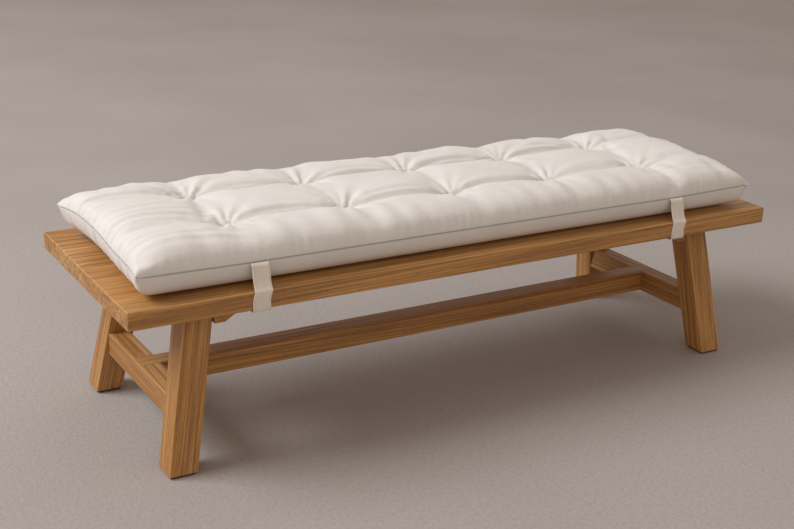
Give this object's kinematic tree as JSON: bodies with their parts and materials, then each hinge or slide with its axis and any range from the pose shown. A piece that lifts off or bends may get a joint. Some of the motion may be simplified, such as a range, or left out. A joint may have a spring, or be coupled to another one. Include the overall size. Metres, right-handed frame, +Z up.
{
  "type": "kneeling bench",
  "caption": "Low oak kneeling bench with outward-leaning legs, an H-shaped stretcher frame and a tufted cushion strapped round its top.",
  "frame": {"origin": "on the floor, under the middle of the bench's outline", "axes": "+X runs along the bench, +Y points to its back, and +Z points up from the floor; -Y is the front, which is nearly the same as the back"},
  "size_m": [1.2, 0.4038, 0.3613],
  "materials": {
    "oak": "oiled oak, satin",
    "cushion_cloth": "natural cotton and linen cloth",
    "cushion_fill": "carded cotton filling",
    "tuft_cord": "waxed cotton cord",
    "webbing": "folded cotton twill tape",
    "closure": "hook and loop tape",
    "screw_steel": "zinc plated",
    "felt": "pressed felt"
  },
  "bodies": {
    "root": {"top_board_1": "oak", "top_board_2": "oak", "top_board_3": "oak", "top_board_4": "oak", "leg_front_left": "oak", "leg_front_right": "oak", "leg_back_left": "oak", "leg_back_right": "oak", "end_stretcher_left": "oak", "end_stretcher_right": "oak", "long_stretcher": "oak", "bearer_left": "oak", "bearer_right": "oak", "bearer_screws": "screw_steel", "foot_glide_front_left": "felt", "foot_glide_front_right": "felt", "foot_glide_back_left": "felt", "foot_glide_back_right": "felt", "cushion_top_panel": "cushion_cloth", "cushion_bottom_panel": "cushion_cloth", "cushion_filling": "cushion_fill", "tuft_cords": "tuft_cord", "strap_front_left": "webbing", "strap_front_right": "webbing", "strap_back_left": "webbing", "strap_back_right": "webbing", "loop_patch_left": "closure", "loop_patch_right": "closure", "hook_patch_left": "closure", "hook_patch_right": "closure"}
  },
  "joints": []
}
